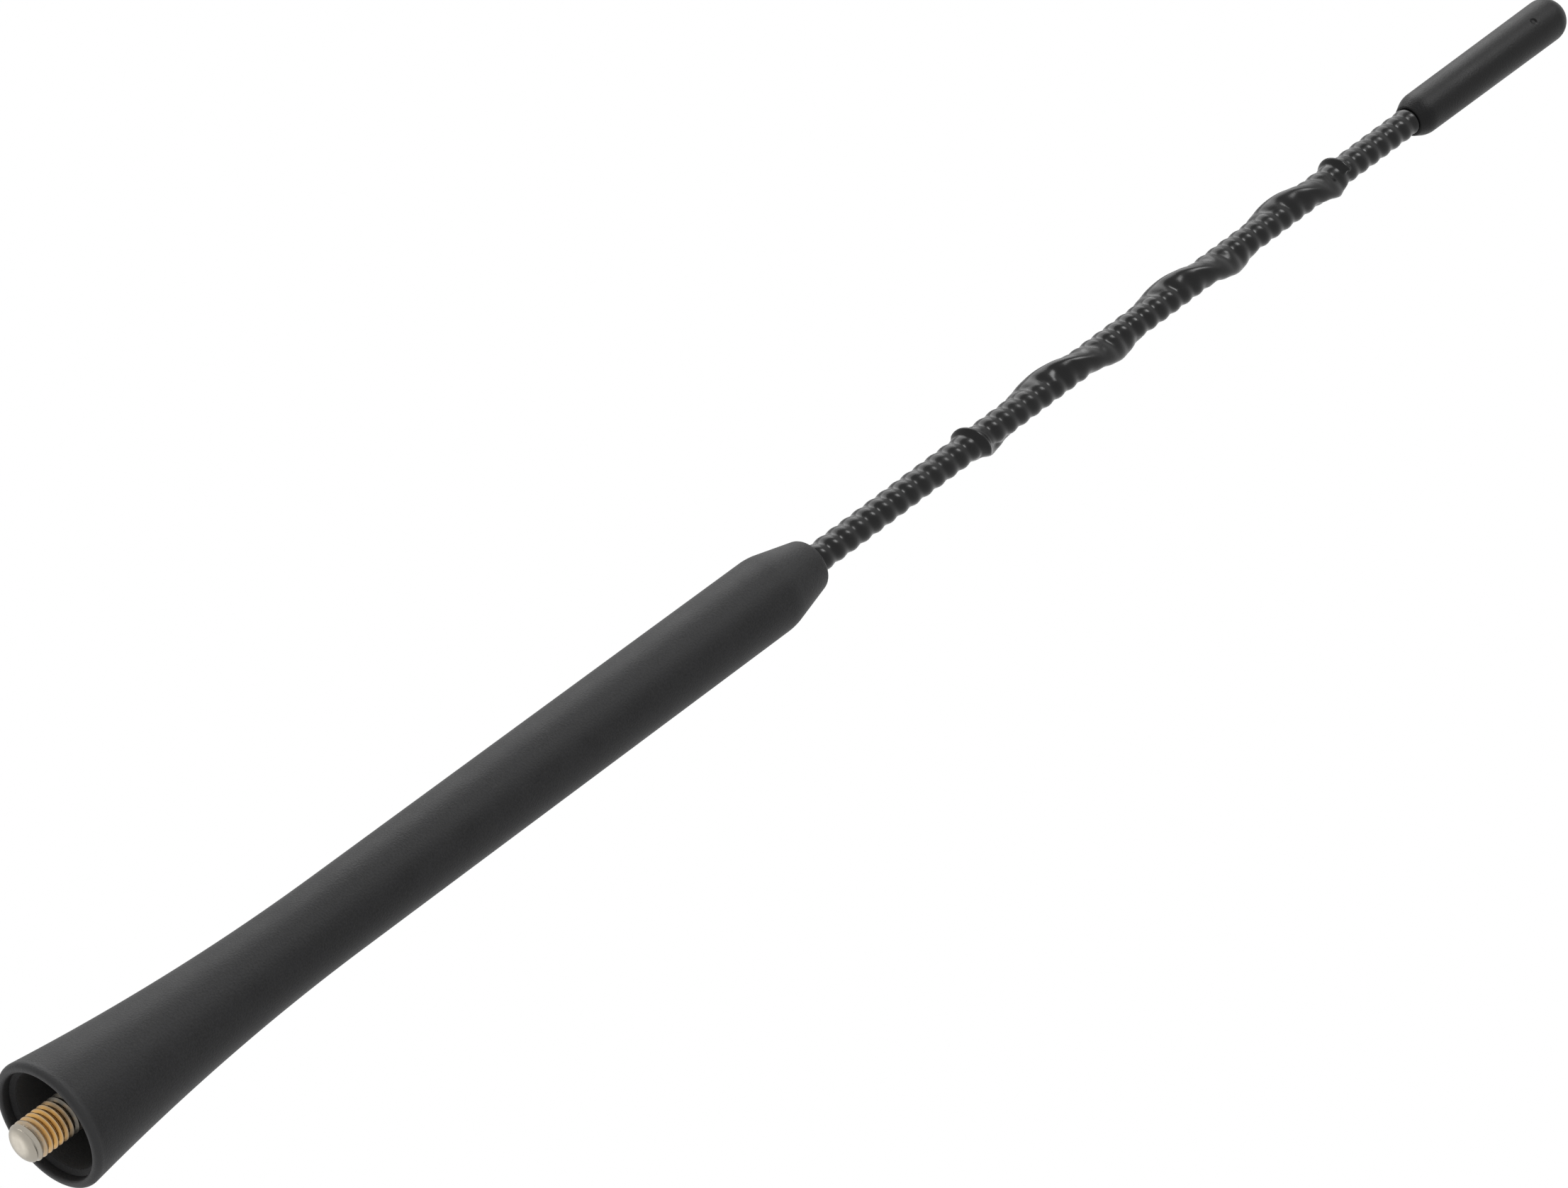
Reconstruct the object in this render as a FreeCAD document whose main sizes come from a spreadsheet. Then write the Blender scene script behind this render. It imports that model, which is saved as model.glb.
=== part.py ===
"""Screw-on car aerial mast: a rubber boot on a turned M5 stud, a ribbed whip with a spiral strake, a tip cap.

The frame stands upright. +Z runs along the mast to its tip, and the origin is the centre of the boot's lip.
The photographed front is -Y. All sizes are millimetres.
"""
import FreeCAD, Part
import math
import os
import Sketcher
from FreeCAD import Vector

doc = FreeCAD.newDocument("CarAerialMast")

# Driving dimensions
SIZES = [
    ("stud_diameter", 4.9, "crest of the M5 thread"),
    ("stud_length", 12.0, "from the collar's face to the stud's end"),
    ("stud_reach", 4.0, "how far the stud stands out past the lip"),
    ("stud_chamfer", 0.8, "chamfered end of the stud"),
    ("relief_depth", 0.45, "turned relief behind the thread"),
    ("relief_width", 1.2, "width of that relief"),
    ("collar_diameter", 9.2, "ferrule's collar in the floor of the boot's mouth"),
    ("collar_thickness", 2.0, "its height"),
    ("barrel_diameter", 6.4, "ferrule's barrel in the rubber"),
    ("barrel_length", 24.0, "its height above the collar"),
    ("groove_depth", 0.8, "groove that keys the rubber to the barrel"),
    ("groove_width", 8.0, "height of that groove"),
    ("groove_start", 8.0, "from the collar to the groove"),
    ("socket_depth", 18.0, "ferrule's bore for the rod"),
    ("fit_gap", 0.03, "clearance between pieces that sit in one another"),
    ("foot_diameter", 16.3, "foot of the flare, before the lip is rounded"),
    ("lip_rounding", 1.0, "outer edge of the lip"),
    ("mouth_diameter", 13.8, "mouth inside the lip"),
    ("mouth_depth", 1.2, "from the lip to the ledge inside the mouth"),
    ("hollow_diameter", 12.4, "hollow above that ledge"),
    ("ledge_rise", 0.4, "slope of the ledge towards the hollow"),
    ("flare_height", 46.0, "where the flare meets the shank"),
    ("shank_diameter", 10.06, "straight part of the boot"),
    ("cone_height", 7.6, "cone from the shank to the boot's top"),
    ("shoulder_rounding", 6.0, "soft edge of that turn"),
    ("boot_height", 128.6, "top of the boot"),
    ("neck_diameter", 6.5, "top of the cone"),
    ("neck_chamfer", 0.5, "edge of the boot's top"),
    ("rod_diameter", 2.4, "glass fibre rod"),
    ("winding_thickness", 0.24, "layer of wire wound on the rod"),
    ("sleeve_wall", 0.23, "shrunk sleeve between its ribs"),
    ("sleeve_grip", 3.0, "how far the sleeve goes into the cap"),
    ("rib_height", 0.18, "rib of the sleeve above its valleys"),
    ("rib_pitch", 2.34, "from one turn of the rib to the next"),
    ("rib_start", 1.94, "from the boot's top to where the rib first crosses +X"),
    ("rib_end", 1.96, "from the rib's last crest to the cap, at least"),
    ("whip_length", 120.9, "bare whip from the boot's top to the cap's mouth"),
    ("strake_start", 31.7, "from the boot's top to where the strake first crosses +X"),
    ("strake_pitch", 27.3, "pitch at its lower end"),
    ("strake_pitch_drop", 1.08, "loss of rise with the square of the turns"),
    ("strake_turns", 3.0, "long turns of the strake"),
    ("strake_height", 0.78, "strake above the ribs"),
    ("strake_width", 2.0, "foot of the strake"),
    ("strake_crest", 0.5, "its narrow top"),
    ("bend_turns", 0.12, "turn that the bend between a long and a close turn takes"),
    ("tail_turns", 0.55, "close turn at each end of the strake"),
    ("tail_pitch", 3.6, "pitch of those close turns"),
    ("tail_height", 0.42, "height of the strake there"),
    ("cap_length", 33.5, "from the cap's mouth to its tip"),
    ("cap_mouth_diameter", 5.8, "cap at its mouth"),
    ("cap_diameter", 6.06, "cap where its round end begins"),
    ("cap_chamfer", 0.7, "edge of the cap's mouth"),
    ("cap_socket", 22.0, "bore for the wound rod"),
    ("rod_stub", 4.0, "bare rod above the winding"),
]

# A sketch's own numbers: the axis on which a coordinate is zero, and an arc's centre
ZERO_AXIS = {"DistanceX": -2, "DistanceY": -1}
ARC_CENTRE = {"point": 3}

NAMES = [alias for alias, _, _ in SIZES]

sheet = doc.addObject("Spreadsheet::Sheet", "Sizes")
for row, (alias, value, note) in enumerate(SIZES, start=1):
    sheet.set(f"A{row}", alias)
    sheet.set(f"B{row}", str(value))
    sheet.set(f"C{row}", note)
    sheet.setAlias(f"B{row}", alias)
doc.recompute()


def bind(text):
    """Expression whose bare size names are read from the sheet."""
    return " ".join(f"Sizes.{word}" if word in NAMES else word for word in text.split())


def worth(text):
    """Number that an expression of size names comes to."""
    return float(sheet.evalExpression(bind(text)))


# Heights and radii that several pieces share
COLLAR_FACE = "( stud_length - stud_reach )"
BARREL_FOOT = f"( {COLLAR_FACE} + collar_thickness )"
BARREL_TOP = f"( {BARREL_FOOT} + barrel_length )"
SOCKET_FLOOR = f"( {BARREL_TOP} - socket_depth )"
SHOULDER = "( boot_height - cone_height )"
CAP_MOUTH = "( boot_height + whip_length )"
CAP_TIP = f"( {CAP_MOUTH} + cap_length )"
SLEEVE_TOP = f"( {CAP_MOUTH} + sleeve_grip )"
WINDING_TOP = f"( {CAP_MOUTH} + cap_socket )"
ROD_TOP = f"( {WINDING_TOP} + rod_stub )"
ROD_R = "( rod_diameter / 2 )"
ROD_BORE = f"( {ROD_R} + fit_gap )"
WINDING_R = f"( {ROD_BORE} + winding_thickness )"
WINDING_BORE = f"( {WINDING_R} + fit_gap )"
SLEEVE_R = f"( {WINDING_BORE} + sleeve_wall )"
SLEEVE_BORE = f"( {SLEEVE_R} + fit_gap )"
RIB_R = f"( {SLEEVE_R} + rib_height )"


def plane_of(body, role):
    """Origin plane of a body."""
    return next(item for item in body.Origin.OriginFeatures if item.Role == role)


def hold(sketch, kind, segment, end, text):
    """Keep one point of a sketch at a radius or height of the sheet."""
    if text == "0":
        sketch.addConstraint(Sketcher.Constraint("PointOnObject", segment, end, ZERO_AXIS[kind]))
        return
    number = sketch.addConstraint(Sketcher.Constraint(kind, -1, 1, segment, end, worth(text)))
    sketch.setExpression(f"Constraints[{number}]", bind(text))


def bent(start, end, after):
    """Arc from start to end that runs into the straight run from end to after."""
    run = (after - end).normalize()
    normal = Vector(-run.y, run.x, 0)
    chord = start - end
    radius = chord.dot(chord) / (2 * chord.dot(normal))
    centre = end + normal * radius
    middle = (start + end) * 0.5 - centre
    return Part.Arc(start, centre + middle.normalize() * abs(radius), end)


def domed(start, end):
    """Arc from start to end, a point of the axis, about a centre on the axis."""
    height = (end.y ** 2 - start.y ** 2 - start.x ** 2) / (2 * (end.y - start.y))
    centre = Vector(0, height, 0)
    middle = (start + end) * 0.5 - centre
    return Part.Arc(start, centre + middle.normalize() * (end - centre).Length, end)


def outline(body, name, points, bend=None, dome=None):
    """Closed sketch in the XZ plane through (radius, height) expressions.

    Its runs are straight, apart from the bend, which meets the run after it smoothly, and the dome.
    """
    sketch = body.newObject("Sketcher::SketchObject", name)
    sketch.AttachmentSupport = [(plane_of(body, "XZ_Plane"), "")]
    sketch.MapMode = "FlatFace"
    spots = [Vector(worth(across), worth(up), 0) for across, up in points]
    count = len(spots)
    ends = []
    for index, spot in enumerate(spots):
        after = spots[(index + 1) % count]
        if index == bend:
            sketch.addGeometry(bent(spot, after, spots[(index + 2) % count]))
        elif index == dome:
            sketch.addGeometry(domed(spot, after))
        else:
            sketch.addGeometry(Part.LineSegment(spot, after))
        forward = (sketch.getPoint(index, 1) - spot).Length < (sketch.getPoint(index, 2) - spot).Length
        ends.append((1, 2) if forward else (2, 1))
    for index, (across, up) in enumerate(points):
        after = (index + 1) % count
        joint = "Tangent" if index == bend else "Coincident"
        sketch.addConstraint(Sketcher.Constraint(joint, index, ends[index][1], after, ends[after][0]))
        hold(sketch, "DistanceX", index, ends[index][0], across)
        hold(sketch, "DistanceY", index, ends[index][0], up)
    if dome is not None:
        centre = ARC_CENTRE["point"]
        sketch.addConstraint(Sketcher.Constraint("PointOnObject", dome, centre, ZERO_AXIS["DistanceX"]))
    return sketch


def turned(name, points, bend=None, dome=None):
    """Body turned about the mast's axis from an outline."""
    body = doc.addObject("PartDesign::Body", name)
    body.Label = name
    sketch = outline(body, f"{name}_outline", points, bend, dome)
    turn = body.newObject("PartDesign::Revolution", f"{name}_turn")
    turn.Profile = sketch
    turn.ReferenceAxis = (sketch, ["V_Axis"])
    turn.Angle = 360
    doc.recompute()
    return body


def round_edge(shape, across, up):
    """Name of the round edge at a radius and height."""
    for number, edge in enumerate(shape.Edges, start=1):
        if not isinstance(edge.Curve, Part.Circle):
            continue
        miss = abs(edge.Curve.Radius - worth(across)) + abs(edge.Curve.Center.z - worth(up))
        if miss < 1e-4:
            return f"Edge{number}"
    raise RuntimeError(f"no round edge at {across}, {up}")


def rounded(body, across, up, radius):
    """Fillet on the round edge at a radius and height."""
    base = body.Tip
    fillet = body.newObject("PartDesign::Fillet", f"{body.Name}_rounding")
    fillet.Base = (base, [round_edge(base.Shape, across, up)])
    fillet.setExpression("Radius", bind(radius))
    doc.recompute()


def chamfered(body, across, up, width):
    """Chamfer on the round edge at a radius and height."""
    base = body.Tip
    chamfer = body.newObject("PartDesign::Chamfer", f"{body.Name}_chamfer")
    chamfer.Base = (base, [round_edge(base.Shape, across, up)])
    chamfer.setExpression("Size", bind(width))
    doc.recompute()


def flat(points):
    """Flat face inside a closed run of points."""
    return Part.Face(Part.makePolygon([*points, points[0]]))


def facets(first, second, third, fourth):
    """Two flat facets that close a patch of four corners."""
    return [flat([first, second, third]), flat([first, third, fourth])]


def sewn(faces):
    """Solid inside faces that share their edges."""
    shell = Part.Shell(faces)
    shell.sewShape()
    return Part.Solid(shell)


def keying_groove(gap):
    """Groove round the barrel, as the barrel's outline runs up past it, widened by a gap all round."""
    barrel = f"barrel_diameter / 2 + {gap}"
    groove = f"barrel_diameter / 2 - groove_depth + {gap}"
    foot = f"{BARREL_FOOT} + groove_start + {gap}"
    top = f"{BARREL_FOOT} + groove_start + groove_width - {gap}"
    return [(barrel, foot), (groove, foot), (groove, top), (barrel, top)]


# Turned ferrule: stud, collar and keyed barrel in one piece
ferrule = turned("stud_ferrule", [
    ("0", "0 - stud_reach"),
    ("stud_diameter / 2", "0 - stud_reach"),
    ("stud_diameter / 2", f"{COLLAR_FACE} - relief_width"),
    ("stud_diameter / 2 - relief_depth", f"{COLLAR_FACE} - relief_width"),
    ("stud_diameter / 2 - relief_depth", COLLAR_FACE),
    ("collar_diameter / 2", COLLAR_FACE),
    ("collar_diameter / 2", BARREL_FOOT),
    ("barrel_diameter / 2", BARREL_FOOT),
    *keying_groove("0"),
    ("barrel_diameter / 2", BARREL_TOP),
    (ROD_BORE, BARREL_TOP),
    (ROD_BORE, SOCKET_FLOOR),
    ("0", SOCKET_FLOOR),
])
chamfered(ferrule, "stud_diameter / 2", "0 - stud_reach", "stud_chamfer")


# Moulded rubber boot: bell mouth, flare, straight shank and cone, with a pocket keyed to the ferrule
FOOT_WALL = "( foot_diameter - mouth_diameter ) / 2"
boot = turned("rubber_boot", [
    ("mouth_diameter / 2", "0"),
    ("foot_diameter / 2", "0"),
    ("shank_diameter / 2", "flare_height"),
    ("shank_diameter / 2", SHOULDER),
    ("neck_diameter / 2", "boot_height"),
    (SLEEVE_BORE, "boot_height"),
    (SLEEVE_BORE, f"{BARREL_TOP} + fit_gap"),
    ("barrel_diameter / 2 + fit_gap", f"{BARREL_TOP} + fit_gap"),
    *reversed(keying_groove("fit_gap")),
    ("barrel_diameter / 2 + fit_gap", f"{BARREL_FOOT} + fit_gap"),
    ("collar_diameter / 2 + fit_gap", f"{BARREL_FOOT} + fit_gap"),
    ("collar_diameter / 2 + fit_gap", COLLAR_FACE),
    ("hollow_diameter / 2", COLLAR_FACE),
    ("hollow_diameter / 2", "mouth_depth + ledge_rise"),
    ("mouth_diameter / 2", "mouth_depth"),
], bend=1)
rounded(boot, "foot_diameter / 2", "0", f"min( lip_rounding ; 0.8 * {FOOT_WALL} )")
rounded(boot, "shank_diameter / 2", SHOULDER, "shoulder_rounding")
chamfered(boot, "neck_diameter / 2", "boot_height", "neck_chamfer")

# Glass fibre rod, seated in the ferrule's bore and the cap's
rod = doc.addObject("Part::Cylinder", "glass_fibre_rod")
rod.Label = "glass_fibre_rod"
rod.setExpression("Radius", bind(ROD_R))
rod.setExpression("Height", bind(f"{ROD_TOP} - {SOCKET_FLOOR}"))
rod.setExpression("Placement.Base.z", bind(SOCKET_FLOOR))

# Wire wound along the rod, its turns as one solid
winding = turned("wire_winding", [
    (ROD_BORE, BARREL_TOP),
    (WINDING_R, BARREL_TOP),
    (WINDING_R, WINDING_TOP),
    (ROD_BORE, WINDING_TOP),
])

# Shrunk sleeve, with the wire's turns showing through it as one long right-handed rib
RIB_SIDES = 16


def around(radius, turn, height):
    """Point at a radius, a number of turns from +X and a height."""
    angle = 2 * math.pi * turn
    return Vector(radius * math.cos(angle), radius * math.sin(angle), height)


def rib_strand(radius, lift, steps):
    """Points along one edge of the rib, from its lower end."""
    foot = worth("boot_height + rib_start") + lift
    pitch = worth("rib_pitch")
    return [around(radius, step / RIB_SIDES, foot + pitch * step / RIB_SIDES) for step in range(steps + 1)]


def pierced(ring, bore):
    """Flat end of a tube, between its sides and its bore."""
    face = flat(ring)
    rim = Part.Wire(Part.Circle(Vector(0, 0, ring[0].z), Vector(0, 0, 1), bore).toShape())
    face.validate()
    return Part.Face([face.OuterWire, rim], "Part::FaceMakerBullseye")


def sleeve_solid():
    """Tube with flat sides and a rib wound round it, in flat facets."""
    radius = worth(SLEEVE_R)
    bore = worth(WINDING_BORE)
    low = worth(BARREL_TOP)
    high = worth(SLEEVE_TOP)
    last = RIB_SIDES * math.floor(worth("( whip_length - rib_start - rib_end ) / rib_pitch") + 1e-6)
    crest = rib_strand(worth(RIB_R), 0, last)
    valley = rib_strand(radius, -worth("rib_pitch / 2"), last + RIB_SIDES)
    bottom = [around(radius, side / RIB_SIDES, low) for side in range(RIB_SIDES)]
    top = [around(radius, side / RIB_SIDES, high) for side in range(RIB_SIDES)]
    faces = []
    for step in range(last):
        faces += facets(valley[step], valley[step + 1], crest[step + 1], crest[step])
        above = step + RIB_SIDES
        faces += facets(crest[step], crest[step + 1], valley[above + 1], valley[above])
    for end in (0, last):
        faces.append(flat([valley[end], crest[end], valley[end + RIB_SIDES]]))
    for side in range(RIB_SIDES):
        after = (side + 1) % RIB_SIDES
        lower = [bottom[side], bottom[after], valley[side + 1], valley[side]]
        upper = [valley[last + side], valley[last + side + 1], top[after], top[side]]
        if after == 0:
            lower.insert(2, valley[0])
        if side == 0:
            upper.append(valley[last + RIB_SIDES])
        faces += [flat(lower), flat(upper)]
    tube = Part.makeCylinder(bore, high - low, Vector(0, 0, low))
    wall = next(face for face in tube.Faces if isinstance(face.Surface, Part.Cylinder))
    return sewn([*faces, wall, pierced(bottom, bore), pierced(top, bore)])


sleeve = doc.addObject("Part::Feature", "ribbed_sleeve")
sleeve.Label = "ribbed_sleeve"
sleeve.Shape = sleeve_solid()

# Spiral strake on the ribs: long turns that close up at each end
STRAKE_STEPS = 18


def strake_rise(turn):
    """Height of the strake above its first crossing of +X, after a number of turns."""
    long_turns = min(max(turn, 0), worth("strake_turns"))
    rise = worth("strake_pitch") * long_turns - worth("strake_pitch_drop") * long_turns ** 2
    return rise + worth("tail_pitch") * (turn - long_turns)


def strake_bend(turn):
    """Rise averaged over the bend between a long turn and a close one."""
    half = worth("bend_turns") / 2
    return sum(strake_rise(turn + half * share) for share in (-1, -0.5, 0, 0.5, 1)) / 5


def strake_crest(turn):
    """Height of the strake above the ribs: low in the close end turns, full between them."""
    inside = min(turn, worth("strake_turns") - turn) / worth("bend_turns")
    share = min(max(inside, 0), 1)
    return worth("tail_height") + worth("strake_height - tail_height") * share


def strake_section(turn):
    """Corners of the strake's section, square to its run: a foot round the ribs and a narrow crest."""
    radius = worth(f"{RIB_R} + fit_gap") / math.cos(math.pi / STRAKE_STEPS)
    step = 0.5 / STRAKE_STEPS
    run = 4 * math.pi * radius * step
    climb = strake_bend(turn + step) - strake_bend(turn - step)
    slope = math.atan2(climb, run)
    height = worth("boot_height + strake_start") + strake_bend(turn)
    half = worth("strake_width / 2")
    narrow = worth("strake_crest / 2")
    crest = strake_crest(turn)
    corners = []
    for side, rise in [(-half, 0), (-narrow, crest), (narrow, crest), (half, 0), (0, 0)]:
        shift = side * math.sin(slope) / (2 * math.pi * radius)
        corners.append(around(radius + rise, turn + shift, height - side * math.cos(slope)))
    return corners


def strake_solid():
    """Strake from one end to the other, in flat facets between its sections."""
    first = -worth("tail_turns")
    span = worth("strake_turns + 2 * tail_turns")
    steps = round(span * STRAKE_STEPS)
    sections = [strake_section(first + span * index / steps) for index in range(steps + 1)]
    faces = []
    for end in (sections[0], sections[-1]):
        faces += [flat([end[4], end[0], end[1]]), flat([end[4], end[1], end[2]]), flat([end[4], end[2], end[3]])]
    for near, far in zip(sections, sections[1:]):
        for corner in range(len(near)):
            faces += facets(near[corner - 1], near[corner], far[corner], far[corner - 1])
    return sewn(faces)


strake = doc.addObject("Part::Feature", "spiral_strake")
strake.Label = "spiral_strake"
strake.Shape = strake_solid()

# Moulded tip cap with a round end, bored in steps for the sleeve, the winding and the rod
cap = turned("tip_cap", [
    (SLEEVE_BORE, CAP_MOUTH),
    ("cap_mouth_diameter / 2", CAP_MOUTH),
    ("cap_diameter / 2", f"{CAP_TIP} - cap_diameter / 2"),
    ("0", CAP_TIP),
    ("0", ROD_TOP),
    (ROD_BORE, ROD_TOP),
    (ROD_BORE, WINDING_TOP),
    (WINDING_BORE, WINDING_TOP),
    (WINDING_BORE, SLEEVE_TOP),
    (SLEEVE_BORE, SLEEVE_TOP),
], dome=2)
CAP_WALL = f"( cap_mouth_diameter / 2 - {SLEEVE_BORE} )"
chamfered(cap, "cap_mouth_diameter / 2", CAP_MOUTH, f"min( cap_chamfer ; 0.8 * {CAP_WALL} )")

PIECES = [ferrule, boot, rod, winding, sleeve, strake, cap]

for item in doc.Objects:
    if "Invalid" in item.State or "Error" in item.State:
        raise RuntimeError(f"{item.Label} failed: {item.State}")
for piece in PIECES:
    if piece.Shape.isNull() or not piece.Shape.isValid():
        raise RuntimeError(f"{piece.Label} has no valid shape")

os.makedirs("parts", exist_ok=True)
for piece in PIECES:
    piece.Shape.exportStep(f"parts/{piece.Label}.step")
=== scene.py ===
"""Looks of a screw-on car antenna mast: boot, threaded stud, ribbed whip with its strake, and tip cap."""
import math

import bmesh
import bpy
from bpy.props import FloatProperty, FloatVectorProperty, IntProperty, PointerProperty
from mathutils import Matrix, Vector


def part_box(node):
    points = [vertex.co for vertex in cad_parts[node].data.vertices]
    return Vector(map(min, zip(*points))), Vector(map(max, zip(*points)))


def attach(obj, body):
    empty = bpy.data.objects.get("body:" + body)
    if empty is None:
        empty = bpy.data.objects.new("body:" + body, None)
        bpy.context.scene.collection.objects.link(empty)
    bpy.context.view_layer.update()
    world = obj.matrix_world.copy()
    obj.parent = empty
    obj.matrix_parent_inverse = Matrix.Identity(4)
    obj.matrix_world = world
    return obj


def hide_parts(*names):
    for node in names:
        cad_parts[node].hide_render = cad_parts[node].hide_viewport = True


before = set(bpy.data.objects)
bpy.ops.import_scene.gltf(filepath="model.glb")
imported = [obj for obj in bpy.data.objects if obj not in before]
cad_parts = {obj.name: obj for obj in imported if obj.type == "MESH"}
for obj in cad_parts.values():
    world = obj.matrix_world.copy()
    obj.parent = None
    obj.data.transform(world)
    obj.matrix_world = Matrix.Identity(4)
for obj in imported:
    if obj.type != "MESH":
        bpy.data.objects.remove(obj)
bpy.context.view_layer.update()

bl_info = {
    "name": "Car Antenna Mast",
    "version": (1, 0, 0),
    "blender": (4, 5, 0),
    "location": "3D View > Sidebar > Mast",
    "description": "Dresses the packed model of a screw-on car antenna mast",
    "category": "Object",
}

BODY = "root"
BOOT_TOP = float(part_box("rubber_boot")[1][2])
STUD_END = float(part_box("stud_ferrule")[0][2])
FERRULE_TOP = float(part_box("stud_ferrule")[1][2])
CAP_MOUTH = float(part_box("tip_cap")[0][2])
CAP_TIP = float(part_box("tip_cap")[1][2])
WINDING_TOP = float(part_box("wire_winding")[1][2])
ROD_FOOT = float(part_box("glass_fibre_rod")[0][2])
ROD_TOP = float(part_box("glass_fibre_rod")[1][2])

MASK_MARGIN = 0.00002
TENT_FALL = 0.91
TENT_BLUNTNESS = 0.12
STRAKE_REACH = 0.006
TAUT_TURNS = 0.14
TAUT_START = 0.3


def length(name, description, default):
    """Length that a user can change, in metres."""
    return FloatProperty(
        name=name, description=description, default=default, precision=5, subtype="DISTANCE", unit="LENGTH"
    )


def share(name, description, default):
    """Plain number that a user can change."""
    return FloatProperty(name=name, description=description, default=default)


def colour(name, description, default):
    """Linear colour that a user can change."""
    return FloatVectorProperty(
        name=name, description=description, default=default, size=3, min=0.0, max=1.0, subtype="COLOR"
    )


def vector(name, description, default, subtype):
    """Place or direction that a user can change."""
    return FloatVectorProperty(name=name, description=description, default=default, subtype=subtype)


def power(name, description, default):
    """Power of a lamp that a user can change, in watts."""
    return FloatProperty(name=name, description=description, default=default, subtype="POWER")


class BootSettings(bpy.types.PropertyGroup):
    """Sizes and finish of the rubber boot."""

    foot_radius: length("Foot radius", "Foot of the flare before its lip is rounded", 0.00811)
    lip_rounding: length("Lip rounding", "Rounded outer edge of the lip", 0.00085)
    mouth_rounding: length("Mouth rounding", "Rounded inner edge of the lip", 0.00035)
    mouth_radius: length("Mouth radius", "Mouth inside the lip", 0.0069)
    mouth_depth: length("Mouth depth", "From the lip to the ledge in the mouth", 0.0012)
    ledge_rise: length("Ledge rise", "Slope of the ledge towards the hollow", 0.0004)
    hollow_radius: length("Hollow radius", "Hollow above the ledge", 0.0062)
    hollow_depth: length("Hollow depth", "From the lip to the floor of the hollow", 0.008)
    ledge_rounding: length("Ledge rounding", "Soft edge between ledge and hollow", 0.00012)
    collar_pocket: length("Collar pocket", "Radius of the room for the ferrule's collar", 0.00463)
    collar_room: length("Collar room", "Height of that room", 0.00203)
    barrel_pocket: length("Barrel pocket", "Radius of the room for the ferrule's barrel", 0.00323)
    bore_radius: length("Bore radius", "Bore for the whip", 0.0019)
    flare_height: length("Flare height", "Where the flare meets the straight shank", 0.046)
    shank_radius: length("Shank radius", "Straight part of the boot", 0.00503)
    cone_height: length("Cone height", "Cone at the top of the boot", 0.0076)
    shoulder_rounding: length("Shoulder rounding", "Soft edge between shank and cone", 0.0009)
    neck_radius: length("Neck radius", "Top of the cone", 0.00325)
    neck_rounding: length("Neck rounding", "Rounded edge of the cone's top", 0.00095)
    sides: IntProperty(name="Sides", description="Faces round the boot", default=128, min=24)
    rubber: colour("Rubber", "Colour of the moulded rubber", (0.011, 0.011, 0.0115))
    # Paler colour painted in the boot's hollow: painted light.
    hollow_painted_light: colour("Hollow_light", "Colour of the dust in the hollow", (0.05, 0.05, 0.049))
    # Paler colour painted on the lip: painted light.
    painted_lighter: colour("Lightened rubber", "Colour of the lip, where the rubber is rubbed", (0.035, 0.035, 0.036))


class StudSettings(bpy.types.PropertyGroup):
    """Sizes and finish of the turned ferrule with its stud."""

    radius: length("Stud radius", "Crest of the thread", 0.00245)
    thread_pitch: length("Thread pitch", "From one turn of the thread to the next", 0.0008)
    thread_depth: length("Thread depth", "Crest to root of the thread", 0.00033)
    thread_top: length("Thread top", "Where the thread ends under the collar", 0.0068)
    point_height: length("Point height", "Rounded end of the stud", 0.0011)
    point_radius: length("Point radius", "Flat of the stud's end", 0.0008)
    thread_end: length("Thread end", "Height in which the thread runs out", 0.0001)
    collar_radius: length("Collar radius", "Collar above the thread", 0.0046)
    collar_height: length("Collar height", "Height of that collar", 0.002)
    barrel_radius: length("Barrel radius", "Barrel in the boot", 0.0032)
    rod_bore: length("Rod bore", "Bore for the rod", 0.00123)
    plated: length("Plated end", "From the stud's end to where its plating begins to wear", 0.0018)
    bare: length("Bare thread", "From the stud's end to where the brass shows", 0.0034)
    # The next two lengths set where the thread is darkened inside the boot's mouth: painted shade.
    clean: length("Unshaded thread", "From the stud's end to where the thread begins to dull", 0.0052)
    painted_shade: length("Shaded thread", "From the stud's end to where the thread is dull", 0.0072)
    # Nickel is the plating at the stud's end; blended onto the crests it is a painted highlight, and darkened
    # inside the boot's mouth it is painted shade.
    nickel: colour("Nickel", "Plating of the crests and the end", (0.37, 0.34, 0.29))
    gold: colour("Gold", "Brass that shows through between the crests", (0.58, 0.34, 0.11))


class WhipSettings(bpy.types.PropertyGroup):
    """Sizes and finish of the whip's skin."""

    valley_radius: length("Valley radius", "Skin between the ribs", 0.0017)
    rib_height: length("Rib height", "Rib above its valleys", 0.0002)
    rib_pitch: length("Rib pitch", "From one turn of the rib to the next", 0.00234)
    foot_inset: length("Foot inset", "How far the skin goes into the boot", 0.0015)
    head_inset: length("Head inset", "How far the skin goes into the cap", 0.003)
    rib_start: length("Rib start", "From the boot's top to the rib's first crossing of +X", 0.00194)
    strake_start: length("Strake start", "From the boot's top to the strake's first crossing of +X", 0.0317)
    strake_pitch: length("Strake pitch", "Pitch of the strake at its lower end", 0.0273)
    pitch_drop: length("Pitch drop", "Loss of rise with the square of the turns", 0.00108)
    strake_turns: share("Strake turns", "Long turns of the strake", 3.0)
    strake_height: length("Strake height", "Strake above the ribs", 0.00078)
    strake_half: length("Strake half width", "From the strake's crest to the foot of its flank", 0.00175)
    tail_height: length("Tail height", "Strake above the ribs in its close end turns", 0.00064)
    first_tail: share("First tail", "Close turn below the long ones", 0.6)
    first_pitch: length("First pitch", "Pitch of the lower close turn", 0.0036)
    last_tail: share("Last tail", "Close turn above the long ones", 0.81)
    last_pitch: length("Last pitch", "Pitch of the upper close turn", 0.002)
    sides: IntProperty(name="Sides", description="Faces round the whip", default=64, min=16)
    skin: colour("Skin", "Colour of the shrunk skin", (0.003, 0.003, 0.0031))


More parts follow.
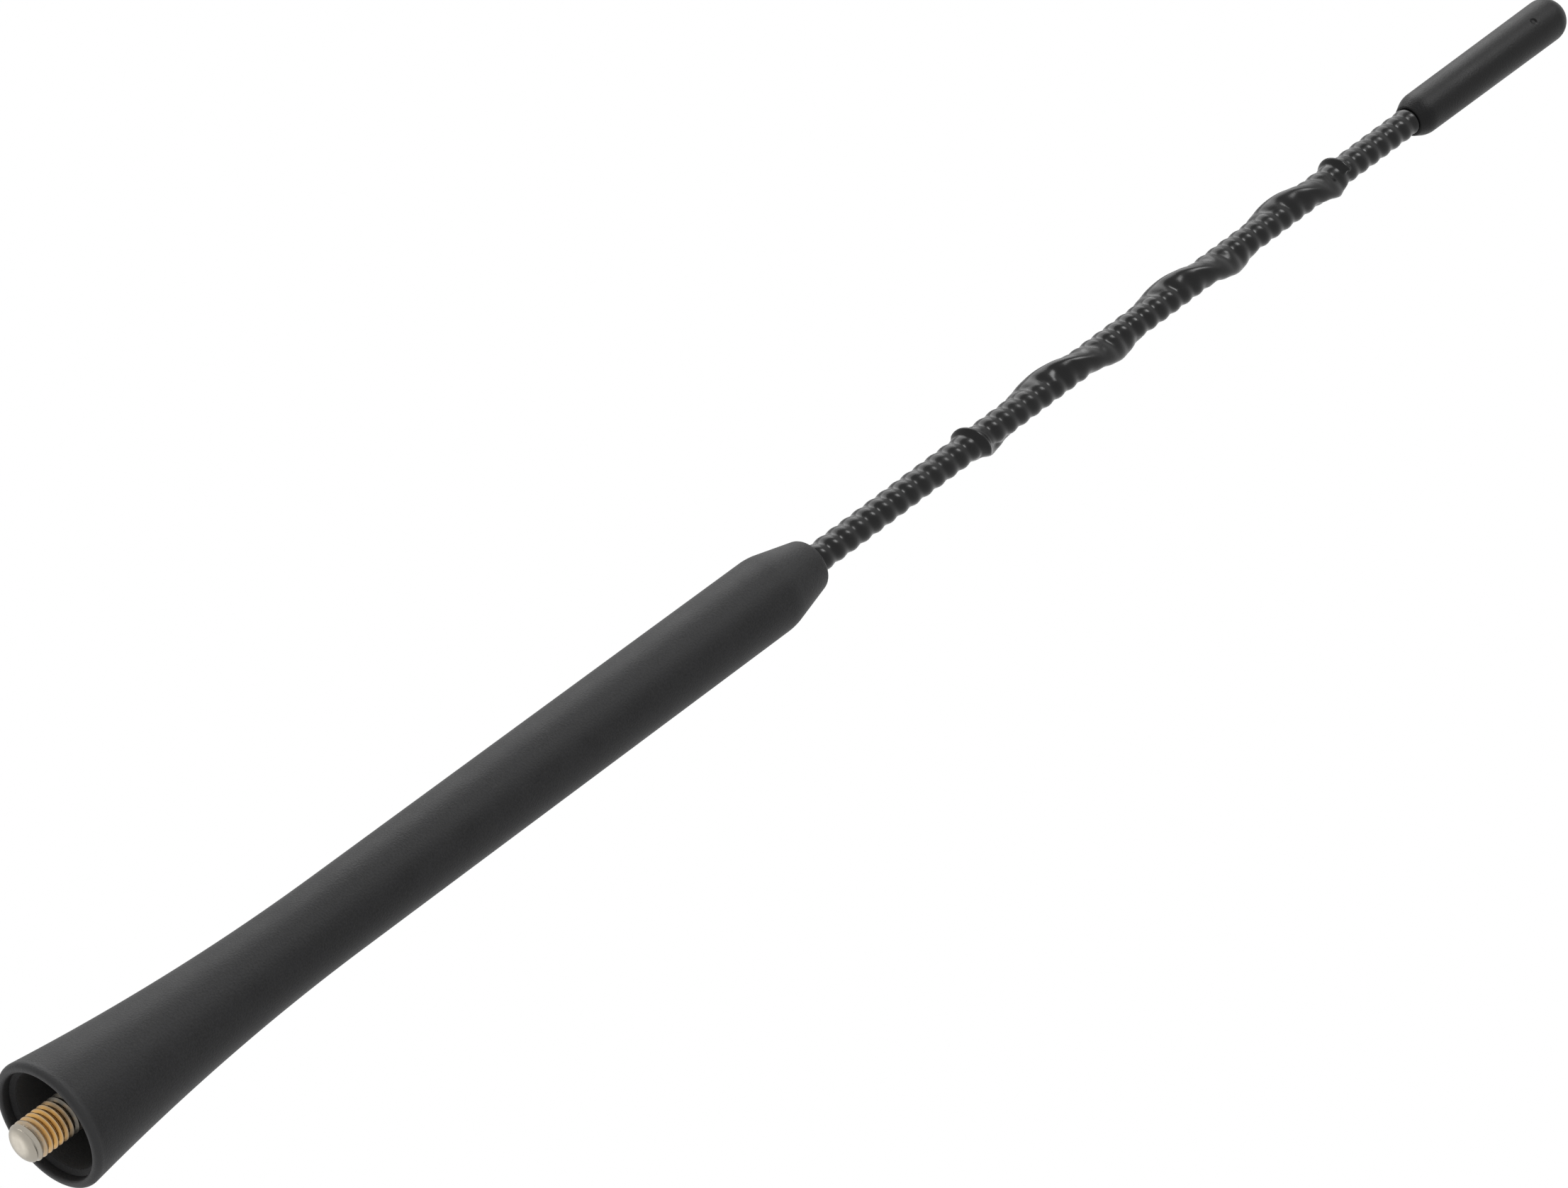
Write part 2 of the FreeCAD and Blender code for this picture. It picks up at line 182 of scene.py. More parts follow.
class CapSettings(bpy.types.PropertyGroup):
    """Sizes and finish of the tip cap."""

    mouth_radius: length("Mouth radius", "Cap at its mouth", 0.00212)
    taper_radius: length("Taper radius", "Cap where the taper from its mouth ends", 0.00294)
    taper_height: length("Taper height", "Height of that taper", 0.0019)
    taper_rounding: length("Taper rounding", "Soft edge where the taper ends", 0.0007)
    radius: length("Radius", "Cap where its round end begins", 0.00303)
    bore_radius: length("Bore radius", "Bore for the whip", 0.00188)
    bore_depth: length("Bore depth", "How far the whip goes in", 0.0032)
    mouth_rounding: length("Mouth rounding", "Rounded edge of the mouth", 0.00015)
    winding_bore: length("Winding bore", "Bore for the wound rod", 0.00156)
    rod_bore: length("Rod bore", "Bore for the rod's bare end", 0.00126)
    dimple_radius: length("Dimple radius", "Round mark left by the mould", 0.0005)
    dimple_depth: length("Dimple depth", "Depth of that mark", 0.00022)
    dimple_drop: length("Dimple drop", "From the tip down to the mark", 0.0073)
    dimple_band: length("Dimple band", "Half height of the finer faces round that mark", 0.0009)
    dimple_bearing: FloatProperty(
        name="Dimple bearing", description="Way the mark faces, from +X", default=math.radians(254),
        subtype="ANGLE"
    )
    rubber: colour("Rubber", "Colour of the moulded cap", (0.002, 0.002, 0.0021))


class CoreSettings(bpy.types.PropertyGroup):
    """Finish of the wound rod inside the skin."""

    glass_fibre: colour("Glass fibre", "Colour of the rod", (0.55, 0.52, 0.38))
    copper: colour("Copper", "Colour of the wire", (0.55, 0.22, 0.09))
    wire_pitch: length("Wire pitch", "From one turn of the wire to the next", 0.00034)


class StageSettings(bpy.types.PropertyGroup):
    """Camera, floor and light."""

    lens: FloatProperty(
        name="Lens", description="Focal length of the camera", default=153.5, subtype="DISTANCE_CAMERA"
    )
    eye: vector("Eye", "Where the camera stands", (0.0, -0.64596, -0.34883), "TRANSLATION")
    across: vector("Across", "Picture's right", (0.59427, -0.47486, 0.64913), "DIRECTION")
    towards: vector("Towards", "From the mast to the camera", (-0.00136, -0.80768, -0.58961), "DIRECTION")
    floor: colour("Floor", "Colour of the floor", (0.86, 0.86, 0.86))
    floor_plain: length("Plain floor", "From the mast to where the floor begins to fade", 0.15)
    floor_gone: length("Faded floor", "From the mast to where the floor is lost in white", 0.8)
    ambient: share("Ambient", "Strength of the world's own light on the mast", 0.65)
    key_place: vector("Key place", "Small lamp that makes the glints", (-0.27, -0.68, 0.67), "TRANSLATION")
    key_size: length("Key size", "Width of that lamp", 0.28)
    key_power: power("Key power", "Power of that lamp", 3.2)
    side_place: vector("Side place", "Broad lamp on the lit side", (-0.72, 0.0, 0.6), "TRANSLATION")
    side_size: length("Side size", "Width of that lamp", 0.65)
    side_power: power("Side power", "Power of that lamp", 4.7)
    under_place: vector("Under place", "Lamp behind and below the lip", (-0.12, 0.55, -0.42), "TRANSLATION")
    under_size: length("Under size", "Width of that lamp", 0.45)
    under_power: power("Under power", "Power of that lamp", 0.7)


def wired(tree, kind, **inputs):
    """New node whose inputs are values or other nodes' outputs."""
    node = tree.nodes.new(kind)
    for name, value in inputs.items():
        socket = node.inputs[name.replace("_", " ")]
        if isinstance(value, bpy.types.NodeSocket):
            tree.links.new(value, socket)
        else:
            socket.default_value = value
    return node


def maths(tree, operation, *values):
    """Output of a Math node."""
    node = tree.nodes.new("ShaderNodeMath")
    node.operation = operation
    for socket, value in zip(node.inputs, values):
        if isinstance(value, bpy.types.NodeSocket):
            tree.links.new(value, socket)
        else:
            socket.default_value = value
    return node.outputs[0]


def remapped(tree, value, low, high, new_low, new_high):
    """Value taken from one range to another."""
    node = wired(tree, "ShaderNodeMapRange", Value=value)
    for socket, number in zip(node.inputs[1:5], (low, high, new_low, new_high)):
        socket.default_value = number
    return node.outputs[0]


def mixed(tree, factor, first, second):
    """Colour between two colours."""
    node = tree.nodes.new("ShaderNodeMix")
    node.data_type = "RGBA"
    tree.links.new(factor, node.inputs[0])
    for socket, value in zip((node.inputs[6], node.inputs[7]), (first, second)):
        if isinstance(value, bpy.types.NodeSocket):
            tree.links.new(value, socket)
        else:
            socket.default_value = (*value, 1.0)
    return node.outputs[2]


def tinted(value, amount):
    """Colour made lighter or darker."""
    return tuple(min(number * amount, 1.0) for number in value)


def moulded_grain():
    """Node group with the fine pitted grain of a moulded or shrunk surface."""
    group = bpy.data.node_groups.get("Moulded grain")
    if group:
        return group
    group = bpy.data.node_groups.new("Moulded grain", "ShaderNodeTree")
    group.interface.new_socket("Vector", in_out="INPUT", socket_type="NodeSocketVector")
    group.interface.new_socket("Scale", in_out="INPUT", socket_type="NodeSocketFloat").default_value = 5000.0
    group.interface.new_socket("Height", in_out="OUTPUT", socket_type="NodeSocketFloat")
    group.interface.new_socket("Mottle", in_out="OUTPUT", socket_type="NodeSocketFloat")
    entry = group.nodes.new("NodeGroupInput")
    leave = group.nodes.new("NodeGroupOutput")
    place = entry.outputs["Vector"]
    scale = entry.outputs["Scale"]
    fine = wired(group, "ShaderNodeTexNoise", Vector=place, Scale=scale, Detail=3.0, Roughness=0.6)
    broad_scale = maths(group, "MULTIPLY", scale, 0.05)
    broad = wired(group, "ShaderNodeTexNoise", Vector=place, Scale=broad_scale, Detail=4.0, Roughness=0.55)
    group.links.new(fine.outputs[0], leave.inputs["Height"])
    group.links.new(broad.outputs[0], leave.inputs["Mottle"])
    return group


def grain_of(tree, scale):
    """The grain group, placed in a material on its piece's own coordinates."""
    place = tree.nodes.new("ShaderNodeTexCoord")
    grain = tree.nodes.new("ShaderNodeGroup")
    grain.node_tree = moulded_grain()
    grain.inputs["Scale"].default_value = scale
    tree.links.new(place.outputs["Object"], grain.inputs["Vector"])
    return grain


def blank_material(name):
    """Material with a Principled shader, as (material, node tree, shader)."""
    material = bpy.data.materials.new(name)
    material.use_nodes = True
    tree = material.node_tree
    return material, tree, tree.nodes["Principled BSDF"]


def turned_place(tree):
    """Distance from the mast's axis and height along it, over a piece."""
    place = tree.nodes.new("ShaderNodeTexCoord").outputs["Object"]
    parts = wired(tree, "ShaderNodeSeparateXYZ", Vector=place)
    square = maths(tree, "MULTIPLY", parts.outputs["X"], parts.outputs["X"])
    square = maths(tree, "MULTIPLY_ADD", parts.outputs["Y"], parts.outputs["Y"], square)
    return maths(tree, "SQRT", square), parts.outputs["Z"]


def black_moulding(name, base, gloss, specular, scale, depth):
    """Black rubber or plastic with a fine grain, a broad mottle and a gloss that varies with it."""
    material, tree, shader = blank_material(name)
    grain = grain_of(tree, scale)
    mottle = grain.outputs["Mottle"]
    speckle = maths(tree, "MULTIPLY_ADD", grain.outputs["Height"], 0.6, maths(tree, "MULTIPLY", mottle, 0.4))
    tone = mixed(tree, remapped(tree, speckle, 0.3, 0.7, 0.0, 1.0), tinted(base, 0.3), tinted(base, 1.8))
    tree.links.new(tone, shader.inputs["Base Color"])
    tree.links.new(remapped(tree, mottle, 0.3, 0.7, gloss - 0.04, gloss + 0.05), shader.inputs["Roughness"])
    bump = wired(tree, "ShaderNodeBump", Strength=0.6, Distance=depth, Height=grain.outputs["Height"])
    tree.links.new(bump.outputs[0], shader.inputs["Normal"])
    shader.inputs["Specular IOR Level"].default_value = specular
    return material


def painted_lip_and_hollow_light(material, settings):
    """Painted light on the boot: the lip and the hollow are painted paler than the moulded rubber."""
    tree = material.node_tree
    tone = tree.nodes["Principled BSDF"].inputs["Base Color"]
    moulded = tone.links[0].from_socket
    radius, height = turned_place(tree)
    # Mask of the lip and the rubber just above it, which gets painted light.
    outer = maths(tree, "GREATER_THAN", radius, settings.mouth_radius - MASK_MARGIN)
    # Mask of the hollow, which gets painted light.
    inner = maths(tree, "LESS_THAN", radius, settings.hollow_radius + MASK_MARGIN)
    below = maths(tree, "LESS_THAN", height, settings.hollow_depth + MASK_MARGIN)
    hollow = maths(tree, "MULTIPLY", inner, below)
    low = remapped(tree, height, settings.mouth_rounding, 4.0 * settings.mouth_rounding, 1.0, 0.0)
    painted_lighter = maths(tree, "MULTIPLY", outer, low)
    # Paler colours painted on the lip and in the hollow: painted light.
    lip_lightened = mixed(tree, painted_lighter, moulded, settings.painted_lighter)
    tree.links.new(mixed(tree, hollow, lip_lightened, settings.hollow_painted_light), tone)


def plated_brass(settings):
    """Turned brass with nickel that wears through: plated end, gold between the crests, crests painted
    towards nickel as a painted highlight, and roots darkened inside the boot's mouth as painted shade.
    """
    material, tree, shader = blank_material("plated_brass")
    place = tree.nodes.new("ShaderNodeTexCoord").outputs["Object"]
    radius, height = turned_place(tree)
    root = settings.radius - settings.thread_depth
    # Crests painted towards nickel: a painted highlight along the thread.
    crest = remapped(tree, radius, root + 0.00018, settings.radius, 0.0, 0.6)
    wear = wired(tree, "ShaderNodeTexNoise", Vector=place, Scale=900.0, Detail=4.0, Roughness=0.6).outputs[0]
    ragged = maths(tree, "MULTIPLY_ADD", wear, 0.0016, height)
    plated = remapped(tree, ragged, STUD_END + settings.plated, STUD_END + settings.bare, 1.0, 0.0)
    # Thread darkened inside the boot's mouth: painted shade.
    painted_shade = remapped(tree, ragged, STUD_END + settings.clean, STUD_END + settings.painted_shade, 0.0, 1.0)
    thread = mixed(tree, crest, settings.gold, settings.nickel)
    thread = mixed(tree, plated, thread, settings.nickel)
    thread = mixed(tree, painted_shade, thread, tinted(settings.nickel, 0.45))
    tree.links.new(thread, shader.inputs["Base Color"])
    tree.links.new(remapped(tree, wear, 0.3, 0.7, 0.32, 0.46), shader.inputs["Roughness"])
    shader.inputs["Metallic"].default_value = 1.0
    return material


def pultruded_fibre(settings):
    """Glass fibre rod with streaks along it."""
    material, tree, shader = blank_material("pultruded_fibre")
    place = tree.nodes.new("ShaderNodeTexCoord").outputs["Object"]
    along = wired(tree, "ShaderNodeMapping", Vector=place, Scale=(6000.0, 6000.0, 120.0))
    streaks = wired(tree, "ShaderNodeTexNoise", Vector=along.outputs[0], Scale=1.0, Detail=3.0).outputs[0]
    tone = mixed(tree, streaks, tinted(settings.glass_fibre, 0.7), settings.glass_fibre)
    tree.links.new(tone, shader.inputs["Base Color"])
    tree.links.new(remapped(tree, streaks, 0.3, 0.7, 0.35, 0.55), shader.inputs["Roughness"])
    return material


def wound_copper(settings):
    """Enamelled copper wire, its turns as a bump along the rod, and the copper darkened between the turns as
    painted shade.
    """
    material, tree, shader = blank_material("wound_copper")
    place = tree.nodes.new("ShaderNodeTexCoord").outputs["Object"]
    parts = wired(tree, "ShaderNodeSeparateXYZ", Vector=place)
    turns = maths(tree, "MULTIPLY", parts.outputs["Z"], 2.0 * math.pi / settings.wire_pitch)
    wave = maths(tree, "SINE", turns)
    crest = remapped(tree, wave, -1.0, 1.0, 0.0, 1.0)
    # Copper darkened between the turns: painted shade.
    tone = mixed(tree, crest, tinted(settings.copper, 0.35), settings.copper)
    tree.links.new(tone, shader.inputs["Base Color"])
    bump = wired(tree, "ShaderNodeBump", Strength=0.7, Distance=0.0001, Height=wave)
    tree.links.new(bump.outputs[0], shader.inputs["Normal"])
    shader.inputs["Metallic"].default_value = 1.0
    shader.inputs["Roughness"].default_value = 0.3
    return material


def profile(bm, points, closed=False):
    """Wire through (radius, height) points in the XZ plane."""
    verts = [bm.verts.new((across, 0.0, up)) for across, up in points]
    ends = verts[1:] + verts[:1] if closed else verts[1:]
    return verts, [bm.edges.new(pair) for pair in zip(verts, ends)]


def spun(bm, wire, sides):
    """Shell turned about the mast's axis from a wire."""
    bmesh.ops.spin(
        bm, geom=wire, cent=(0, 0, 0), axis=(0, 0, 1), angle=2 * math.pi, steps=sides, use_merge=True
    )
    bmesh.ops.remove_doubles(bm, verts=bm.verts, dist=1e-6)


def softened(bm, radius, height, width, segments):
    """Bevel on the ring of edges at a radius and height."""

    def on_ring(vert):
        return abs(math.hypot(vert.co.x, vert.co.y) - radius) + abs(vert.co.z - height) < 2e-6

    ring = [edge for edge in bm.edges if all(on_ring(vert) for vert in edge.verts)]
    if not ring:
        raise RuntimeError(f"no ring of edges at {radius}, {height}")
    bmesh.ops.bevel(
        bm, geom=ring, offset=width, offset_type="OFFSET", segments=segments, profile=0.5, affect="EDGES",
        material=-1, clamp_overlap=True
    )


def screwed(bm, points, pitch, sides, doublings):
    """Right-handed helical shell: one turn of a wire, then copies of it that double its height."""
    verts, edges = profile(bm, points)
    bmesh.ops.spin(
        bm, geom=verts + edges, cent=(0, 0, 0), axis=(0, 0, 1), dvec=(0, 0, pitch / sides), angle=2 * math.pi,
        steps=sides
    )
    for step in range(doublings):
        copy = bmesh.ops.duplicate(bm, geom=bm.verts[:] + bm.edges[:] + bm.faces[:])["geom"]
        copied = [item for item in copy if isinstance(item, bmesh.types.BMVert)]
        bmesh.ops.translate(bm, verts=copied, vec=(0, 0, pitch * 2 ** step))
    bmesh.ops.remove_doubles(bm, verts=bm.verts, dist=5e-6)


def cut_ring(bm, height, side):
    """Cut at a height that keeps what is below (side 1) or above (side -1), as the edges of the cut."""
    cut = bmesh.ops.bisect_plane(
        bm, geom=bm.verts[:] + bm.edges[:] + bm.faces[:], dist=1e-7, plane_co=(0, 0, height),
        plane_no=(0, 0, side), clear_outer=True
    )
    return [item for item in cut["geom_cut"] if isinstance(item, bmesh.types.BMEdge)]


def stepped_ring(bm, ring, radius, height):
    """Next ring of a turned end, extruded from a ring of edges."""
    made = bmesh.ops.extrude_edge_only(bm, edges=ring)["geom"]
    for vert in [item for item in made if isinstance(item, bmesh.types.BMVert)]:
        out = Vector((vert.co.x, vert.co.y, 0.0)).normalized() * radius
        vert.co = (out.x, out.y, height)
    return [item for item in made if isinstance(item, bmesh.types.BMEdge)]


def piece(bm, name, material, slot, *nodes):
    """Object out of a bmesh, riding on the mast in place of its CAD nodes."""
    bmesh.ops.recalc_face_normals(bm, faces=bm.faces)
    for face in bm.faces:
        face.smooth = True
    mesh = bpy.data.meshes.new(name)
    bm.to_mesh(mesh)
    bm.free()
    mesh.set_sharp_from_angle(angle=math.radians(40))
    mesh.materials.append(material)
    item = bpy.data.objects.new(name, mesh)
    bpy.context.scene.collection.objects.link(item)
    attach(item, BODY)
    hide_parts(*nodes)
    return item


def eased(value):
    """Smooth step from 0 to 1."""
    value = min(max(value, 0.0), 1.0)
    return value * value * (3.0 - 2.0 * value)


def tented(away):
    """Section of a skin stretched over a cord: round on top, falling almost straight to its foot."""
    fall = TENT_FALL * math.hypot(away, TENT_BLUNTNESS)
    straight = max(1.0 - fall, 0.0) / (1.0 - TENT_FALL * TENT_BLUNTNESS)
    return 0.5 * straight + 0.5 * (1.0 - eased(away))


def strake_line(settings, turn):
    """Height of the strake's crest after a number of turns from +X."""
    long_turns = min(max(turn, 0.0), settings.strake_turns)
    rise = settings.strake_pitch * long_turns - settings.pitch_drop * long_turns ** 2
    rise += settings.first_pitch * min(turn, 0.0)
    rise += settings.last_pitch * max(turn - settings.strake_turns, 0.0)
    return BOOT_TOP + settings.strake_start + rise


def strake_path(settings, turn):
    """The strake's line with its bends eased."""
    return sum(strake_line(settings, turn + shift) for shift in (-0.06, -0.03, 0.0, 0.03, 0.06)) / 5


def strake_tautness(settings, turn):
    """How taut the skin is over the strake: 1 in its long turns, 0 in its close end turns."""
    return eased(min(turn, settings.strake_turns - turn) / TAUT_TURNS + TAUT_START)


def strake_crest(settings, turn):
    """Height of the strake above the ribs: low in its end turns, fading where the cord ends."""
    gain = settings.strake_height - settings.tail_height
    full = settings.tail_height + gain * strake_tautness(settings, turn)
    left = min(turn + settings.first_tail, settings.strake_turns + settings.last_tail - turn)
    return full * eased(left / 0.035)


def strake_lift(settings, turn, height):
    """How much of the skin lies on the strake at a place, and how far it is raised there."""
    covered = 0.0
    lift = 0.0
    for lap in range(-1, 5):
        along = turn + lap
        if not -settings.first_tail <= along <= settings.strake_turns + settings.last_tail:
            continue
        away = height - strake_path(settings, along)
        if abs(away) > STRAKE_REACH:
            continue
        climb = (strake_path(settings, along + 0.02) - strake_path(settings, along - 0.02)) / 0.04
        slope = climb / (2 * math.pi * settings.valley_radius)
        across = abs(away) / math.hypot(1.0, slope)
        taut = strake_tautness(settings, along)
        away = across / (settings.strake_half * (0.6 + 0.4 * taut))
        part = taut * tented(away) + (1.0 - taut) * (1.0 - eased(away))
        crest = strake_crest(settings, along)
        covered = max(covered, part * min(crest / settings.tail_height, 1.0))
        lift = max(lift, part * crest)
    return covered, lift


class MAST_OT_boot(bpy.types.Operator):
    """Model the moulded boot with its rounded lip, ledge and hollow mouth"""

    bl_idname = "mast.boot"
    bl_label = "Rubber Boot"

    def execute(self, context):
        settings = context.scene.mast_boot
        shank = settings.shank_radius
        flare = settings.flare_height
        shoulder = BOOT_TOP - settings.cone_height
        ledge = settings.mouth_depth + settings.ledge_rise
        collar_top = settings.hollow_depth + settings.collar_room
        spread = (settings.foot_radius - shank) / flare ** 2
        rows = 24
        heights = [flare * row / rows for row in range(rows + 1)]
        curve = [(shank + spread * (flare - height) ** 2, height) for height in heights]
        bm = bmesh.new()
        verts, edges = profile(bm, [
            (settings.mouth_radius, 0.0),
            *curve,
            (shank, shoulder),
            (settings.neck_radius, BOOT_TOP),
            (settings.bore_radius, BOOT_TOP),
            (settings.bore_radius, FERRULE_TOP),
            (settings.barrel_pocket, FERRULE_TOP),
            (settings.barrel_pocket, collar_top),
            (settings.collar_pocket, collar_top),
            (settings.collar_pocket, settings.hollow_depth),
            (settings.hollow_radius, settings.hollow_depth),
            (settings.hollow_radius, ledge),
            (settings.mouth_radius, settings.mouth_depth),
        ], closed=True)
        spun(bm, verts + edges, settings.sides)
        softened(bm, settings.foot_radius, 0.0, settings.lip_rounding, 8)
        softened(bm, settings.mouth_radius, 0.0, settings.mouth_rounding, 5)
        softened(bm, settings.hollow_radius, ledge, settings.ledge_rounding, 2)
        softened(bm, shank, shoulder, settings.shoulder_rounding, 5)
        softened(bm, settings.neck_radius, BOOT_TOP, settings.neck_rounding, 6)
        rubber = black_moulding(
            "boot_rubber", settings.rubber, gloss=0.52, specular=0.19, scale=4200.0, depth=0.0001
        )
        painted_lip_and_hollow_light(rubber, settings)
        piece(bm, "boot", rubber, "boot_rubber", "rubber_boot")
        return {"FINISHED"}


class MAST_OT_stud(bpy.types.Operator):
    """Model the turned ferrule with a real thread on its stud"""

    bl_idname = "mast.stud"
    bl_label = "Threaded Stud"

    def execute(self, context):
        settings = context.scene.mast_stud
        pitch = settings.thread_pitch
        root = settings.radius - settings.thread_depth
        low = STUD_END - pitch
        flank = root + 0.5 * settings.thread_depth
        crest = settings.radius
        tooth = [
            (0.0, root), (0.06, root), (0.25, flank),
            (0.44, crest), (0.5, crest), (0.56, crest),
            (0.75, flank), (0.94, root), (1.0, root),
        ]
        bm = bmesh.new()
        screwed(bm, [(across, low + pitch * up) for up, across in tooth], pitch, 64, 4)
        top = cut_ring(bm, settings.thread_top, 1)
        ring = cut_ring(bm, STUD_END + 0.00005, -1)
        rounding = settings.radius - settings.point_radius
        for vert in bm.verts:
            left = 1.0 - min((vert.co.z - STUD_END) / settings.point_height, 1.0)
            reach = settings.point_radius + rounding * math.sqrt(1.0 - left ** 2)
            across = math.hypot(vert.co.x, vert.co.y)
            if across > reach:
                vert.co.x *= reach / across
                vert.co.y *= reach / across
        ring = stepped_ring(bm, ring, settings.point_radius, STUD_END)
        bmesh.ops.contextual_create(bm, geom=ring)
        collar = context.scene.mast_boot.hollow_depth
        turned = [
            (root, settings.thread_top + settings.thread_end),
            (root, collar),
            (settings.collar_radius, collar),
            (settings.collar_radius, collar + settings.collar_height),
            (settings.barrel_radius, collar + settings.collar_height),
            (settings.barrel_radius, FERRULE_TOP),
            (settings.rod_bore, FERRULE_TOP),
            (settings.rod_bore, ROD_FOOT),
        ]
        for across, up in turned:
            top = stepped_ring(bm, top, across, up)
        bmesh.ops.contextual_create(bm, geom=top)
        piece(bm, "threaded_stud", plated_brass(settings), "stud_metal", "stud_ferrule")
        return {"FINISHED"}


class MAST_OT_whip(bpy.types.Operator):
    """Model the whip's skin in one piece: the wire's turns as a rib, and the strake's cord under it"""

    bl_idname = "mast.whip"
    bl_label = "Ribbed Whip"

    def execute(self, context):
        settings = context.scene.mast_whip
        pitch = settings.rib_pitch
        rows = 14
        low = BOOT_TOP + settings.rib_start - 2.5 * pitch
        wave = [(settings.valley_radius, low + pitch * row / rows) for row in range(rows + 1)]
        bm = bmesh.new()
        screwed(bm, wave, pitch, settings.sides, 6)
        for height, side in ((BOOT_TOP - settings.foot_inset, -1), (CAP_MOUTH + settings.head_inset, 1)):
            bmesh.ops.contextual_create(bm, geom=cut_ring(bm, height, side))
        for vert in bm.verts:
            height = vert.co.z
            turn = math.atan2(vert.co.y, vert.co.x) / (2 * math.pi) % 1.0
            phase = (height - BOOT_TOP - settings.rib_start) / pitch - turn
            bulge = (0.5 + 0.5 * math.cos(2 * math.pi * phase)) ** 0.85
            shown = eased((height - BOOT_TOP) / 0.002 + 0.5) * eased((CAP_MOUTH - height) / 0.0016 + 0.75)
            covered, lift = strake_lift(settings, turn, height)
            rib = settings.rib_height * shown * bulge
            radius = settings.valley_radius + rib + (settings.rib_height - rib) * covered * 0.95 + lift
            grow = radius / math.hypot(vert.co.x, vert.co.y)
            vert.co.x *= grow
            vert.co.y *= grow
        skin = black_moulding(
            "whip_skin", settings.skin, gloss=0.25, specular=0.25, scale=3500.0, depth=0.00001
        )
        piece(bm, "whip_skin", skin, "whip_skin", "ribbed_sleeve", "spiral_strake")
        return {"FINISHED"}


class MAST_OT_cap(bpy.types.Operator):
    """Model the tip cap with its round end, rounded mouth and mould mark"""

    bl_idname = "mast.cap"
    bl_label = "Tip Cap"

    def execute(self, context):
        settings = context.scene.mast_cap
        spring = CAP_TIP - settings.radius
        mark = CAP_TIP - settings.dimple_drop
        shoulder = CAP_MOUTH + settings.taper_height
        spread = (settings.radius - settings.taper_radius) / (spring - shoulder)
        low = mark - settings.dimple_band
        high = mark + settings.dimple_band
        arc = [math.pi / 2 * step / 14 for step in range(1, 14)]
        deep = CAP_MOUTH + settings.bore_depth
        bm = bmesh.new()
        points = [
            (0.0, ROD_TOP),
            (settings.rod_bore, ROD_TOP),
            (settings.rod_bore, WINDING_TOP),
            (settings.winding_bore, WINDING_TOP),
            (settings.winding_bore, deep),
            (settings.bore_radius, deep),
            (settings.bore_radius, CAP_MOUTH),
            (settings.mouth_radius, CAP_MOUTH),
            (settings.taper_radius, shoulder),
            (settings.taper_radius + spread * (low - shoulder), low),
            (settings.taper_radius + spread * (high - shoulder), high),
            (settings.radius, spring),
            *[(settings.radius * math.cos(step), spring + settings.radius * math.sin(step)) for step in arc],
            (0.0, CAP_TIP),
        ]
        band = [up for across, up in points].index(low)
        verts, edges = profile(bm, points)
        bmesh.ops.subdivide_edges(bm, edges=[edges[band]], cuts=23)
        spun(bm, bm.verts[:] + bm.edges[:], 192)
        softened(bm, settings.taper_radius, shoulder, settings.taper_rounding, 6)
        softened(bm, settings.mouth_radius, CAP_MOUTH, settings.mouth_rounding, 3)
        facing = Vector((math.cos(settings.dimple_bearing), math.sin(settings.dimple_bearing), 0.0))
        spot = facing * settings.radius + Vector((0.0, 0.0, mark))
        for vert in bm.verts:
            near = (vert.co - spot).length / settings.dimple_radius
            if near < 1.0:
                vert.co -= facing * settings.dimple_depth * (1.0 - near ** 4)
        rubber = black_moulding(
            "cap_rubber", settings.rubber, gloss=0.42, specular=0.19, scale=4200.0, depth=0.00008
        )
        piece(bm, "tip_cap_moulding", rubber, "cap_rubber", "tip_cap")
        return {"FINISHED"}


class MAST_OT_core(bpy.types.Operator):
    """Give the rod and its winding, inside the skin, their finishes"""

    bl_idname = "mast.core"
    bl_label = "Wound Rod"

    def execute(self, context):
        settings = context.scene.mast_core
        finishes = {"glass_fibre_rod": pultruded_fibre(settings), "wire_winding": wound_copper(settings)}
        for name, material in finishes.items():
            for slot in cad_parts[name].material_slots:
                slot.material = material
        return {"FINISHED"}


